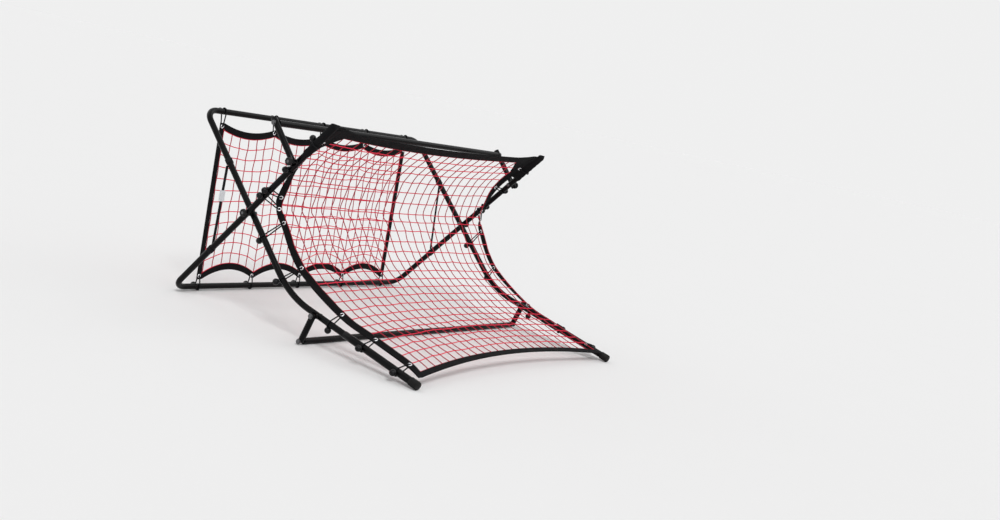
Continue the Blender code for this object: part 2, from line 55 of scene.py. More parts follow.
class Wire:
    # one socket that can be used in sums
    def __init__(self, graph, socket):
        self.graph = graph
        self.socket = socket

    def sum(self, operation, *values):
        return self.graph.node("ShaderNodeMath", dict(enumerate(values)), operation=operation)

    def __add__(self, other):
        return self.sum("ADD", self, other)

    def __sub__(self, other):
        return self.sum("SUBTRACT", self, other)

    def __rsub__(self, other):
        return self.sum("SUBTRACT", other, self)

    def __mul__(self, other):
        return self.sum("MULTIPLY", self, other)

    def __truediv__(self, other):
        return self.sum("DIVIDE", self, other)

    def __rtruediv__(self, other):
        return self.sum("DIVIDE", other, self)

    def wave(self):
        return self.sum("SINE", self)

    def over(self, edge):
        return self.sum("GREATER_THAN", self, edge)

    def size(self):
        return self.sum("ABSOLUTE", self)

    __radd__ = __add__
    __rmul__ = __mul__


class Graph:
    def __init__(self, tree):
        self.tree = tree

    def node(self, kind, inputs=None, output=0, **settings):
        made = self.tree.nodes.new(kind)
        for setting, value in settings.items():
            setattr(made, setting, value)
        for socket, value in (inputs or {}).items():
            if isinstance(value, Wire):
                self.tree.links.new(value.socket, made.inputs[socket])
            else:
                made.inputs[socket].default_value = value
        return Wire(self, made.outputs[output])

    def speckle(self, place, scale, detail, stretch=None):
        if stretch:
            place = self.node("ShaderNodeVectorMath", {0: place, 1: stretch}, operation="MULTIPLY")
        return self.node("ShaderNodeTexNoise", {"Vector": place, "Scale": scale, "Detail": detail})

    def tint(self, factor, low, high):
        return self.node("ShaderNodeMix", {0: factor, 6: (*low, 1.0), 7: (*high, 1.0)}, 2, data_type="RGBA")

    def between(self, value, low, high, newLow=0.0, newHigh=1.0):
        return self.node("ShaderNodeMapRange", {0: value, 1: low, 2: high, 3: newLow, 4: newHigh})


class Finish(Graph):
    # a material with one Principled shader; _ stands for the space in a socket's name
    def __init__(self, name, **constants):
        self.material = bpy.data.materials.new(name)
        self.material.use_nodes = True
        super().__init__(self.material.node_tree)
        self.shader = self.tree.nodes["Principled BSDF"]
        for socket, value in constants.items():
            self.shader.inputs[socket.replace("_", " ")].default_value = value

    def lay(self):
        # the place, and its along, around and across in metres, kept on every mesh made here
        place = self.node("ShaderNodeAttribute", output="Vector", attribute_name="lay")
        return [place] + [self.node("ShaderNodeSeparateXYZ", {0: place}, axis) for axis in range(3)]

    def feed(self, **sockets):
        for socket, value in sockets.items():
            self.tree.links.new(value.socket, self.shader.inputs[socket.replace("_", " ")])
        return self.material

    def surface(self, colour, roughness, height, distance, strength):
        relief = self.node("ShaderNodeBump", {"Height": height, "Distance": distance, "Strength": strength})
        return self.feed(Base_Color=colour, Roughness=roughness, Normal=relief)


paintLook = dict(colour=(0.0026, 0.0026, 0.003), worn=(0.014, 0.014, 0.0155), gloss=0.18, dull=0.30,
                 peel=850.0, cloud=14.0, scratch=(18.0, 700.0, 1.0), relief=0.00006)


def glossPaint():
    made = Finish("glossPaint", Coat_Weight=0.04, Coat_Roughness=0.08, Specular_IOR_Level=0.09)
    place = made.lay()[0]
    peel = made.speckle(place, paintLook["peel"], 2.0)
    cloud = made.speckle(place, paintLook["cloud"], 4.0)
    scratch = made.speckle(place, 1.0, 2.0, paintLook["scratch"])
    mark = made.between(scratch * (0.6 + 0.4 * cloud), 0.50, 0.56)
    return made.surface(made.tint(mark * 0.5, paintLook["colour"], paintLook["worn"]),
                        made.between(cloud, 0.3, 0.7, paintLook["gloss"], paintLook["dull"]) + mark * 0.15,
                        peel * 0.5 - mark * 0.4, paintLook["relief"], 0.6)


weaveLook = dict(rib=0.0014, pick=0.0010, fuzz=2600.0, cloud=30.0, smooth=0.66, rough=0.95, relief=0.00035)


def webbing(name, dark, light):
    made = Finish(name, Specular_IOR_Level=0.06, Sheen_Weight=0.01, Sheen_Roughness=0.6)
    place, along, around, across = made.lay()
    turn = across * (math.pi / weaveLook["rib"])
    rib = turn.wave()
    pick = (along * (math.pi / weaveLook["pick"]) + turn.over(0) * math.pi).wave()
    weave = 0.5 + 0.25 * (rib.size() + rib * pick)
    fuzz = made.speckle(place, weaveLook["fuzz"], 2.0)
    cloud = made.speckle(place, weaveLook["cloud"], 4.0)
    # colour follows the weave's relief, a painted shade in its hollows, mixed with random fibre tone
    weaveShadeAndTone = made.between(weave * 0.7 + fuzz * 0.3 + cloud * 0.25, 0.4, 1.1)
    return made.surface(made.tint(weaveShadeAndTone, dark, light),
                        made.between(cloud + fuzz * 0.4, 0.4, 1.1, weaveLook["rough"], weaveLook["smooth"]),
                        weave + fuzz * 0.25, weaveLook["relief"], 0.8)


twineLook = dict(lay=0.0052, girth=0.0085, fuzz=3000.0, cloud=22.0, smooth=0.55, rough=0.72, relief=0.00025)


def twine(name, deep, bright):
    made = Finish(name, Specular_IOR_Level=0.2, Sheen_Weight=0.04, Sheen_Roughness=0.5)
    place, along, around, across = made.lay()
    strand = ((along / twineLook["lay"] + around / twineLook["girth"]) * math.tau).wave()
    fuzz = made.speckle(place, twineLook["fuzz"], 2.0)
    cloud = made.speckle(place, twineLook["cloud"], 3.0)
    # the twist grooves are coloured darker, a painted shade, with random fibre tone
    return made.surface(made.tint(made.between(strand * 0.25 + fuzz + cloud * 0.4, 0.3, 1.2), deep, bright),
                        made.between(cloud, 0.3, 0.7, twineLook["rough"], twineLook["smooth"]),
                        strand * 0.6 + fuzz * 0.3, twineLook["relief"], 0.7)


braidLook = dict(lay=0.0030, girth=0.0042, fuzz=2500.0, smooth=0.62, rough=0.85, relief=0.0003,
                 dark=(0.003, 0.003, 0.004), light=(0.020, 0.020, 0.022))


def elastic():
    made = Finish("elastic", Specular_IOR_Level=0.08, Sheen_Weight=0.01)
    place, along, around, across = made.lay()
    pitch = along * (math.tau / braidLook["lay"])
    turn = around * (math.tau / braidLook["girth"])
    braid = (pitch + turn).wave() * (pitch - turn).wave()
    fuzz = made.speckle(place, braidLook["fuzz"], 2.0)
    # the braid's hollows are coloured darker, a painted shade, with random fibre tone
    return made.surface(made.tint(made.between(braid + fuzz, -0.3, 1.4),
                                  braidLook["dark"], braidLook["light"]),
                        made.between(fuzz, 0.3, 0.7, braidLook["rough"], braidLook["smooth"]),
                        braid + fuzz * 0.4, braidLook["relief"], 0.8)


plasticLook = dict(grain=(1500.0, 3.0), cloud=(60.0, 4.0), mark=420.0, edge=(0.58, 0.68), share=0.5,
                   dulled=0.12, relief=0.00006, strength=0.6, gloss=(0.42, 0.58), dark=(0.005, 0.005, 0.005),
                   light=(0.030, 0.030, 0.030))
ballLook = dict(plasticLook, gloss=(0.24, 0.40), dark=(0.003, 0.003, 0.004), light=(0.018, 0.018, 0.020))
rubberLook = dict(grain=(900.0, 4.0), cloud=(900.0, 4.0), mark=45.0, edge=(0.45, 0.75), share=0.6, dulled=0.0,
                  relief=0.0002, strength=0.7, gloss=(0.6, 0.85), dark=(0.004, 0.004, 0.004),
                  light=(0.030, 0.029, 0.027))


def moulded(name, look):
    # a fine grain, scuffed or dusty in places
    made = Finish(name, Specular_IOR_Level=0.2)
    place = made.node("ShaderNodeTexCoord", output="Object")
    grain = made.speckle(place, *look["grain"])
    cloud = made.speckle(place, *look["cloud"])
    mark = made.between(made.speckle(place, look["mark"], 5.0), *look["edge"])
    return made.surface(made.tint(mark * look["share"] + cloud * 0.2, look["dark"], look["light"]),
                        made.between(cloud, 0.3, 0.7, *look["gloss"]) + mark * look["dulled"],
                        grain, look["relief"], look["strength"])


platedLook = dict(cloud=240.0, grain=2200.0, worn=0.62, dulled=0.22, relief=0.00005)


def plated(name, colour, gloss):
    made = Finish(name, Metallic=1.0)
    place = made.node("ShaderNodeTexCoord", output="Object")
    cloud = made.speckle(place, platedLook["cloud"], 4.0)
    grain = made.speckle(place, platedLook["grain"], 2.0)
    dull = made.between(cloud, 0.52, 0.72)
    return made.surface(made.tint(dull, colour, tuple(platedLook["worn"] * part for part in colour)),
                        made.between(cloud, 0.3, 0.7, gloss, gloss + platedLook["dulled"]),
                        grain + cloud, platedLook["relief"], 0.5)


finishes = dict(
    paint=glossPaint(),
    webbing=webbing("webbing", (0.0020, 0.0020, 0.0024), (0.0125, 0.0125, 0.0135)),
    strap=webbing("strapWebbing", (0.004, 0.004, 0.005), (0.022, 0.022, 0.024)),
    thread=webbing("stitchThread", (0.007, 0.007, 0.008), (0.034, 0.034, 0.036)),
    courses=twine("netCourses", (0.66, 0.014, 0.045), (0.92, 0.030, 0.085)),
    # the upright strings' twine: the same red as the courses made darker, a painted shade
    columns=twine("netColumnsShaded", (0.28, 0.012, 0.026), (0.52, 0.028, 0.056)),
    tag=webbing("tagCloth", (0.62, 0.65, 0.68), (0.86, 0.88, 0.90)),
    elastic=elastic(), ball=moulded("ballPlastic", ballLook), plastic=moulded("plainPlastic", plasticLook),
    zinc=plated("blackZinc", (0.15, 0.15, 0.155), 0.26),
    eyelet=plated("eyeletMetal", (0.80, 0.80, 0.82), 0.16),
    rubber=moulded("capRubber", rubberLook))
print("finishes made:", len(finishes))


# Meshes


creaseAngle = math.radians(42)


def placed(name, data):
    thing = bpy.data.objects.new(name, data)
    bpy.context.collection.objects.link(thing)
    return thing


class Shape:
    # gathers the faces of one piece, with the lay of its surface at each corner
    def __init__(self):
        self.points = []
        self.faces = []
        self.lays = []
        self.kinds = []

    def face(self, corners, lays, kind=0):
        self.faces.append(corners)
        self.lays.extend(lays)
        self.kinds.append(kind)

    def rings(self, rings, along, around, kind=0, looped=False):
        # skin over closed rings; around has one entry more than a ring has points, and so has along in a loop
        base = len(self.points)
        count = len(rings[0])
        for ring in rings:
            self.points.extend(ring)
        for row in range(len(rings) if looped else len(rings) - 1):
            first = base + row * count
            second = base + (row + 1) % len(rings) * count
            for side in range(count):
                beside = (side + 1) % count
                self.face((first + side, first + beside, second + beside, second + side),
                          [(along[row + up], around[side + on], around[side + on])
                           for up, on in ((0, 0), (0, 1), (1, 1), (1, 0))], kind)
        if not looped:
            for row, order in ((0, -1), (len(rings) - 1, 1)):
                corners = range(count)[::order]
                self.face([base + row * count + side for side in corners],
                          [(along[row], around[side], 0.0) for side in corners], kind)

    def piece(self, name, body, paints, replaces=None):
        # a piece named as a node of the frame replaces that node
        mesh = bpy.data.meshes.new(name)
        mesh.from_pydata([tuple(point) for point in self.points], [], self.faces)
        lay = mesh.attributes.new("lay", "FLOAT_VECTOR", "CORNER")
        lay.data.foreach_set("vector", [number for entry in self.lays for number in entry])
        for paint in paints:
            mesh.materials.append(finishes[paint])
        mesh.polygons.foreach_set("material_index", self.kinds)
        mesh.validate()
        shell = bmesh.new()
        shell.from_mesh(mesh)
        bmesh.ops.recalc_face_normals(shell, faces=shell.faces)
        shell.to_mesh(mesh)
        shell.free()
        mesh.shade_smooth()
        mesh.set_sharp_from_angle(angle=creaseAngle)
        thing = placed(name, mesh)
        if body:
            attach(thing, body)
        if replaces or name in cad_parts:
            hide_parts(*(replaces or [name]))
        return thing


def runs(points):
    lengths = [0.0]
    for before, after in zip(points, points[1:]):
        lengths.append(lengths[-1] + (after - before).length)
    return lengths


def tangents(points):
    return [(after - before).normalized()
            for before, after in zip(points[:1] + points[:-1], points[1:] + points[-1:])]


def spread(size, count):
    return [size * step / count for step in range(count + 1)]


def crossAxes(way):
    flat = way.orthogonal().normalized()
    return flat, way.cross(flat)


def circle(centre, flat, across, radius, count):
    return [centre + (flat * math.cos(angle) + across * math.sin(angle)) * radius
            for angle in spread(math.tau, count)[:-1]]


def skin(shape, points, ways, radii, sides, kind=0, flat=None):
    # a round skin about a path, without twist
    flat = flat or ways[0].orthogonal().normalized()
    rings = []
    for point, way, radius in zip(points, ways, radii):
        flat = (flat - way * flat.dot(way)).normalized()
        rings.append(circle(point, flat, way.cross(flat), radius, sides))
    shape.rings(rings, runs(points), spread(max(radii) * math.tau, sides), kind)


def pipe(shape, points, radii, sides, kind=0, flat=None):
    radii = radii if isinstance(radii, list) else [radii] * len(points)
    skin(shape, points, tangents(points), radii, sides, kind, flat)


def profileRuns(profile):
    return runs([Vector((reach, radius, 0)) for reach, radius in profile])


def girth(profile):
    return max(radius for reach, radius in profile) * math.tau


def turned(shape, base, way, profile, sides, kind=0):
    # profile: (distance along way, radius), from one closed end to the other
    axes = crossAxes(way)
    shape.rings([circle(base + way * reach, *axes, radius, sides) for reach, radius in profile],
                profileRuns(profile), spread(girth(profile), sides), kind)


def hoop(shape, centre, way, profile, sides, kind=0):
    # a closed profile, turned about way
    rings = [[centre + way * reach + outward * radius for reach, radius in profile]
             for outward in circle(Vector((0, 0, 0)), *crossAxes(way), 1.0, sides)]
    shape.rings(rings, spread(girth(profile), sides), profileRuns(profile + profile[:1]), kind, looped=True)


def carved(shape, base, way, profile, count, size, along, around, kind=0):
    # turned, with a radius that changes with the angle
    flat, across = crossAxes(way)
    rings = [[base + way * reach + (flat * math.cos(angle) + across * math.sin(angle)) * size(angle, share)
              for angle in spread(math.tau, count)[:-1]] for reach, share in profile]
    shape.rings(rings, along, spread(around, count), kind)


# half a ribbon's outline: shares of its half width and of its half thickness
rolledEdge = [(-1.0, 0.35), (-0.955, 0.85), (-0.86, 1.0), (-0.45, 0.9), (0.0, 0.88), (0.45, 0.9), (0.86, 1.0),
              (0.955, 0.85), (1.0, 0.35)]
stitchLook = dict(pitch=0.0046, length=0.0031, sink=0.0001, sides=5)


def ribbon(shape, centres, widths, thickness):
    # webbing: widths are half-width vectors; the edges are slightly rolled
    loop = rolledEdge + [(share, -lift) for share, lift in reversed(rolledEdge)]
    rings = []
    for centre, way, half in zip(centres, tangents(centres), widths):
        normal = way.cross(half).normalized() * thickness / 2
        rings.append([centre + half * share + normal * lift for share, lift in loop])
    size = widths[0].length
    shape.rings(rings, runs(centres), [share * size for share, lift in loop + loop[:1]])


def stitches(shape, centres, widths, thickness, places, kind=1):
    # rows of single thread stitches that lie in both faces of a ribbon
    along = runs(centres)
    ways = tangents(centres)
    for place in places:
        reach = stitchLook["pitch"]
        index = 0
        while reach < along[-1] - stitchLook["pitch"]:
            while along[index + 1] < reach:
                index += 1
            share = (reach - along[index]) / (along[index + 1] - along[index])
            centre = centres[index].lerp(centres[index + 1], share)
            half = widths[index].lerp(widths[index + 1], share)
            way = ways[index].lerp(ways[index + 1], share).normalized()
            normal = way.cross(half).normalized()
            for face in (-1, 1):
                spot = centre + half * place + normal * face * (thickness / 2 - stitchLook["sink"])
                thread(shape, spot, way, normal * face, stitchLook["length"], kind)
            reach += stitchLook["pitch"]


def thread(shape, spot, way, normal, length, kind=1):
    # one stitch, whose ends dip into the cloth
    rings = []
    for reach, radius, lift in ((-0.5, 0.00008, -0.0003), (-0.3, 0.00028, 0.0), (0.3, 0.00028, 0.0),
                                (0.5, 0.00008, -0.0003)):
        rings.append(circle(spot + way * length * reach + normal * lift, way.cross(normal), normal, radius,
                            stitchLook["sides"]))
    shape.rings(rings, spread(length, 3), spread(0.0015, stitchLook["sides"]), kind)


# The frames' plan, as in the CAD model


tubeSizes = dict(radius=0.0095, bend=0.045, gap=0.003, fit=0.0003, wall=0.0012)
plan = dict(braceWidth=1.060, frontTipY=-0.510, lower=0.534, lowerSlope=math.radians(11.4), upper=0.6807,
            upperSlope=math.radians(42.98), bend=0.300, topLeg=0.150, frontStart=0.240, frontInsert=0.050,
            baseRailY=0.490, upright=0.8217, uprightSlope=math.radians(48.83), baseLeg=0.150,
            footStation=0.1266, footLean=math.radians(17.81), spreaderStation=0.6540, spreaderArm=0.134,
            spreaderAngle=math.radians(45.6), tail=0.010, overrun=0.018, capWall=0.0015, capLength=0.030,
            capCut=0.0007)
cordSizes = dict(radius=0.002, ball=0.010, cut=0.0005, end=0.0055, mouth=math.radians(15))


def heading(angle):
    return Vector((math.cos(angle), math.sin(angle)))


def at(x, point):
    return Vector((x, point[0], point[1]))


def crossing(startA, alongA, startB, alongB):
    gap = startB - startA
    reach = (gap.x * alongB.y - gap.y * alongB.x) / (alongA.x * alongB.y - alongA.y * alongB.x)
    return startA + alongA * reach


tubeRadius = tubeSizes["radius"]
tubeSeat = tubeRadius + tubeSizes["fit"]
frontRadius = tubeSeat + tubeSizes["wall"]
capRadius = frontRadius + tubeSizes["fit"] + plan["capWall"]
braceX = plan["braceWidth"] / 2
uprightX = braceX + 2 * tubeRadius + tubeSizes["gap"]
spreaderX = uprightX + 2 * tubeRadius + tubeSizes["gap"]
uprightAlong = heading(math.pi - plan["uprightSlope"])
braceUp = heading(plan["upperSlope"])
braceDown = -braceUp
braceFront = heading(math.pi + plan["lowerSlope"])
cadTurn = math.radians(18)  # half a step of the CAD's cord loops
cordFlat = cordSizes["radius"] * math.cos(math.pi / 5)
baseRise = (tubeSeat + cordSizes["radius"]) / math.cos(cadTurn) + cordFlat - cordSizes["cut"]
baseRail = Vector((plan["baseRailY"], baseRise))
uprightTip = baseRail + uprightAlong * plan["upright"]
frontTip = Vector((plan["frontTipY"], capRadius - plan["capCut"]))
braceBend = frontTip - braceFront * plan["lower"]
topRail = braceBend + braceUp * plan["upper"]
scissor = crossing(baseRail, uprightAlong, topRail, braceDown)
rearReach = topRail.x + tubeSeat + 2 * cordSizes["ball"]
frontReach = (frontTip.x + braceFront.x * (plan["capWall"] + tubeSizes["fit"])
              - capRadius * math.sin(plan["lowerSlope"]))
shift = Vector((-(rearReach + frontReach) / 2, 0.0))
for spot in (baseRail, uprightTip, frontTip, braceBend, topRail, scissor):
    spot += shift
footPivot = braceBend + braceFront * plan["footStation"]
footDrop = footPivot.y - tubeRadius * math.cos(math.pi / 16)
footCross = footPivot + Vector((footDrop * math.tan(plan["footLean"]), -footDrop))
spreaderPivot = baseRail + uprightAlong * plan["spreaderStation"]
spreaderCross = spreaderPivot + heading(plan["spreaderAngle"]) * plan["spreaderArm"]
uprightFront = Vector((-uprightAlong.y, uprightAlong.x))
braceOver = Vector((-braceUp.y, braceUp.x))
frontOver = Vector((braceFront.y, -braceFront.x))
sides = (("left", -1), ("right", 1))
right = Vector((1, 0, 0))


def mirrored(sign):
    return Vector((sign, 1, 1))


def rounded(corners, radius, steps):
    path = [corners[0]]
    for before, corner, after in zip(corners, corners[1:], corners[2:]):
        inward = (before - corner).normalized()
        outward = (after - corner).normalized()
        half = inward.angle(outward) / 2
        centre = corner + (inward + outward).normalized() * radius / math.sin(half)
        start = corner + inward * radius / math.tan(half)
        end = corner + outward * radius / math.tan(half)
        turn = math.pi - 2 * half
        for share in spread(1, steps):
            path.append(centre + (start - centre) * math.sin((1 - share) * turn) / math.sin(turn)
                        + (end - centre) * math.sin(share * turn) / math.sin(turn))
    path.append(corners[-1])
    return path


# Camera, floor and lamps


cameraPlan = dict(place=(-2.9069, -2.2524, 0.8115), azimuth=-56.745, elevation=8.061, roll=12.404,
                  lens=40.358, sensor=36.0, far=60.0)
floorLook = dict(size=60.0, drop=0.0006, cloud=3.0, dark=(0.866, 0.866, 0.866), light=(0.872, 0.872, 0.872))
lampPlan = dict(
    suns=(dict(name="key", toward=(0.55, 0.62, -1.0), angle=20.0, power=1.25),
          dict(name="fill", toward=(-0.9, 0.5, -0.8), angle=50.0, power=0.45),
          dict(name="back", toward=(0.1, -1.0, -0.9), angle=50.0, power=0.35)),
    height=3.0, sky=0.52, shown=0.866)


def makeCamera():
    data = bpy.data.cameras.new("photoCamera")
    data.lens = cameraPlan["lens"]
    data.sensor_width = cameraPlan["sensor"]
    data.clip_end = cameraPlan["far"]
    camera = placed("photoCamera", data)
    turn = Matrix.Rotation(math.radians(cameraPlan["azimuth"]), 4, "Z")
    tilt = Matrix.Rotation(math.radians(90 - cameraPlan["elevation"]), 4, "X")
    roll = Matrix.Rotation(math.radians(cameraPlan["roll"]), 4, "Z")
    camera.matrix_world = Matrix.Translation(cameraPlan["place"]) @ turn @ tilt @ roll
    bpy.context.scene.camera = camera


def makeFloor():
    shape = Shape()
    size = floorLook["size"]
    corners = ((-1, -1), (1, -1), (1, 1), (-1, 1))
    shape.points = [Vector((x * size, y * size, -floorLook["drop"])) for x, y in corners]
    shape.face((0, 1, 2, 3), [(x * size, y * size, 0) for x, y in corners])
    made = Finish("paleFloor", Roughness=0.9, Specular_IOR_Level=0.1)
    cloud = made.speckle(made.node("ShaderNodeTexCoord", output="Object"), floorLook["cloud"], 3.0)
    finishes["floor"] = made.feed(Base_Color=made.tint(cloud, floorLook["dark"], floorLook["light"]))
    shape.piece("studioFloor", None, ["floor"])


def makeLamps():
    for entry in lampPlan["suns"]:
        data = bpy.data.lights.new(entry["name"] + "Lamp", "SUN")
        data.angle = math.radians(entry["angle"])
        data.energy = entry["power"]
        lamp = placed(entry["name"] + "Lamp", data)
        lamp.location = (0, 0, lampPlan["height"])
        lamp.rotation_euler = Vector(entry["toward"]).to_track_quat("-Z", "Y").to_euler()
    world = bpy.data.worlds.new("studioWorld")
    bpy.context.scene.world = world
    world.use_nodes = True
    graph = Graph(world.node_tree)
    seen, glossy = [graph.node("ShaderNodeLightPath", output=ray)
                    for ray in ("Is Camera Ray", "Is Glossy Ray")]
    level = graph.between(seen.sum("MAXIMUM", seen, glossy), 0.0, 1.0, lampPlan["sky"], lampPlan["shown"])
    background = graph.tree.nodes["Background"]
    graph.tree.links.new(level.socket, background.inputs["Strength"])
    background.inputs["Color"].default_value = (1.0, 1.0, 1.0, 1.0)


makeCamera()
makeFloor()
makeLamps()
bpy.context.scene.view_settings.view_transform = "Standard"
print("camera, floor and lamps ready")


# Steel tubes


tubeLook = dict(sides=32, bendSteps=14, legSteps=16, step=0.04, bore=0.018)


def subdivided(points, step):
    dense = [points[0]]
    for before, after in zip(points, points[1:]):
        count = max(1, math.ceil((after - before).length / step))
        dense += [before.lerp(after, share) for share in spread(1, count)[1:]]
    return dense


def steelTube(name, body, points, radius=tubeRadius, bored=(True, True)):
    # a tube with rounded lips and a bore at each open end; rings stay square to its axis, in the bore too
    shape = Shape()
    points = subdivided(points, tubeLook["step"])
    inner = radius - tubeSizes["wall"]
    lip = [(tubeLook["bore"], inner), (0.0002, inner), (0.0, inner + 0.0003), (0.0, radius - 0.0004),
           (0.0005, radius)]
    ends = []
    for start, beside, isOpen in ((points[0], points[1], bored[0]), (points[-1], points[-2], bored[1])):
        way = (beside - start).normalized()
        ends.append([(start + way * reach, size) for reach, size in lip] if isOpen else [(start, radius)])
    path, radii = zip(*ends[0], *[(point, radius) for point in points[1:-1]], *ends[1][::-1])
    axis = tangents(points)
    ways = [axis[min(range(len(points)), key=lambda index: (points[index] - point).length)] for point in path]
    skin(shape, path, ways, radii, tubeLook["sides"])
    return shape.piece(name, body, ["paint"])


railLegEnd = topRail + braceDown * plan["topLeg"]
baseLegEnd = baseRail + uprightAlong * plan["baseLeg"]
for name, body, x, legEnd, corner in (("top_rail", "brace_frame", braceX, railLegEnd, topRail),
                                      ("base_rail", "upright_frame", uprightX, baseLegEnd, baseRail)):
    steelTube(name, body, rounded([at(-x, legEnd), at(-x, corner), at(x, corner), at(x, legEnd)],
                                  tubeSizes["bend"], tubeLook["bendSteps"]), bored=(False, False))
for side, sign in sides:
    x = braceX * sign
    insert = braceBend + braceFront * (plan["frontStart"] + plan["frontInsert"])
    steelTube("brace_leg_" + side, "brace_frame", rounded(
        [at(x, railLegEnd + braceDown * tubeSizes["fit"]), at(x, braceBend), at(x, insert)],
        plan["bend"], tubeLook["legSteps"]), bored=(False, False))
    steelTube("front_leg_" + side, "brace_frame", [at(x, braceBend + braceFront * plan["frontStart"]),
                                                   at(x, frontTip)], frontRadius, bored=(True, False))
    x = uprightX * sign
    steelTube("upright_" + side, "upright_frame", [at(x, baseLegEnd + uprightAlong * tubeSizes["fit"]),
                                                   at(x, uprightTip)], bored=(False, True))


def armPair(label, body, armX, pivot, cross, overrun):
    way = (cross - pivot).normalized()
    half = armX - tubeSeat
    steelTube(label + "_cross_tube", body, [at(-half, cross), at(half, cross)], bored=(False, False))
    for side, sign in sides:
        steelTube(label + "_arm_" + side, body, [at(armX * sign, pivot - way * plan["tail"]),
                                                 at(armX * sign, cross + way * overrun)])


armPair("spreader", "spreader", spreaderX, spreaderPivot, spreaderCross, plan["overrun"])
armPair("foot", "foot", uprightX, footPivot, footCross, 0.0)
print("tubes made")


# Bolts, washers and caps


boltLook = dict(shank=0.003, head=0.0068, headHeight=0.0042, knob=0.0125, knobHeight=0.011, nut=0.0066,
                nutHeight=0.0052, washerHeight=0.0024, plate=0.0010, knobPlate=0.0012, capNut=0.0050,
                tubeShank=0.045)
capLook = dict(ribs=4, first=0.0060, pitch=0.0050, deep=0.0005, sides=40)


def hexagon(shape, base, way, radius, height, dome=0.0):
    # six flats with a chamfered crown
    def size(angle, share):
        corner = math.cos(math.tau / 12) / math.cos(angle % (math.tau / 6) - math.tau / 12)
        return radius * (corner if share > 0.95 else min(corner, share) if share > 0.8 else share)

    profile = [(height * reach, share) for reach, share in (
        (0.0, 0.93), (0.0, 1.0), (0.08, 1.0), (0.82, 1.0), (1.0, 0.86), (1.0 + dome, 0.5), (1.0 + dome, 0.1))]
    along = [height * reach for reach in (0, 0.1, 0.3, 0.6, 0.9, 1.1, 1.4)]
    carved(shape, base, way, profile, 24, size, along, radius * 6)


def knob(shape, base, way, radius, height):
    # a moulded hand knob with eight grips
    def size(angle, share):
        return radius * share * (1.0 - 0.085 * (0.6 < share) * (0.5 - 0.5 * math.cos(8 * angle)) ** 2)

    profile = [(height * reach, share) for reach, share in (
        (0.0, 0.55), (0.04, 0.80), (0.12, 0.97), (0.30, 1.0), (0.75, 0.97), (0.90, 0.90), (1.0, 0.72),
        (0.96, 0.55), (0.90, 0.40), (0.90, 0.08))]
    carved(shape, base, way, profile, 64, size, spread(radius * 2, 10)[:-1], radius * 6.3, kind=1)


def pivotBolt(label, side, sign, body, spot, innerX, outerX, big):
    shape = Shape()
    outer = at((outerX + tubeSeat) * sign, spot)
    inner = at((innerX - tubeSeat) * sign, spot)
    way = (inner - outer).normalized()
    shank = boltLook["shank"]
    high = boltLook["nutHeight"]
    plate = boltLook["knobPlate"]
    hoop(shape, outer - way * plate, way, [(0.0001, 0.0032), (0.0001, 0.0080), (0.0005, 0.0083),
                                           (0.0011, 0.0083), (0.0014, 0.0080), (0.0014, 0.0032)], 32)
    end = inner + way * high
    pipe(shape, [outer - way * 0.001, outer, inner, end + way * 0.0012, end + way * 0.0018],
         [shank, shank, shank, 0.0029, 0.0021], 20)
    hexagon(shape, inner, way, boltLook["nut"], high * 0.72)
    turned(shape, inner + way * high * 0.70, way, [(0.0, 0.0050), (0.0009, 0.0050), (0.0014, 0.0044),
                                                   (0.0014, 0.0032)], 28)
    if big:
        knob(shape, outer - way * plate, -way, boltLook["knob"], boltLook["knobHeight"] - 0.001)
        hexagon(shape, outer - way * (plate + boltLook["knobHeight"] * 0.74), -way, boltLook["capNut"],
                0.0012)
    else:
        boltHead(shape, outer, way)
    shape.piece(label + "_pivot_bolt_" + side, body, ["zinc", "plastic"])
    washer = Shape()
    high = boltLook["washerHeight"]
    hoop(washer, at((innerX + tubeSeat) * sign, spot), right * sign,
         [(0.0, 0.0034), (0.0, 0.0081), (0.0003, 0.0085), (high - 0.0003, 0.0085), (high, 0.0081),
          (high, 0.0034)], 36)
    washer.piece(label + "_washer_" + side, body, ["plastic"])


def boltHead(shape, outer, way):
    hexagon(shape, outer - way * boltLook["plate"], -way, boltLook["head"],
            boltLook["headHeight"] - boltLook["plate"], 0.05)


def tubeBolt(label, body, armX, cross):
    for side, sign in sides:
        shape = Shape()
        outer = at((armX + tubeSeat) * sign, cross)
        way = right * -sign
        hoop(shape, outer - way * boltLook["plate"], way,
             [(0.0, 0.0032), (0.0, 0.0078), (0.0003, 0.0081), (0.0008, 0.0081), (0.0010, 0.0078),
              (0.0010, 0.0032)], 32)
        boltHead(shape, outer, way)
        pipe(shape, [outer - way * 0.0008, outer + way * boltLook["tubeShank"]], boltLook["shank"], 16)
        shape.piece(label + "_tube_bolt_" + side, body, ["zinc"])


for side, sign in sides:
    pivotBolt("scissor", side, sign, "brace_frame", scissor, braceX, uprightX, True)
    pivotBolt("foot", side, sign, "brace_frame", footPivot, braceX, uprightX, False)
    pivotBolt("spreader", side, sign, "upright_frame", spreaderPivot, uprightX, spreaderX, True)
tubeBolt("spreader", "spreader", spreaderX, spreaderCross)
tubeBolt("foot", "foot", uprightX, footCross)


def onGround(points):
    for point in points:
        point.z = max(point.z, 0.0)


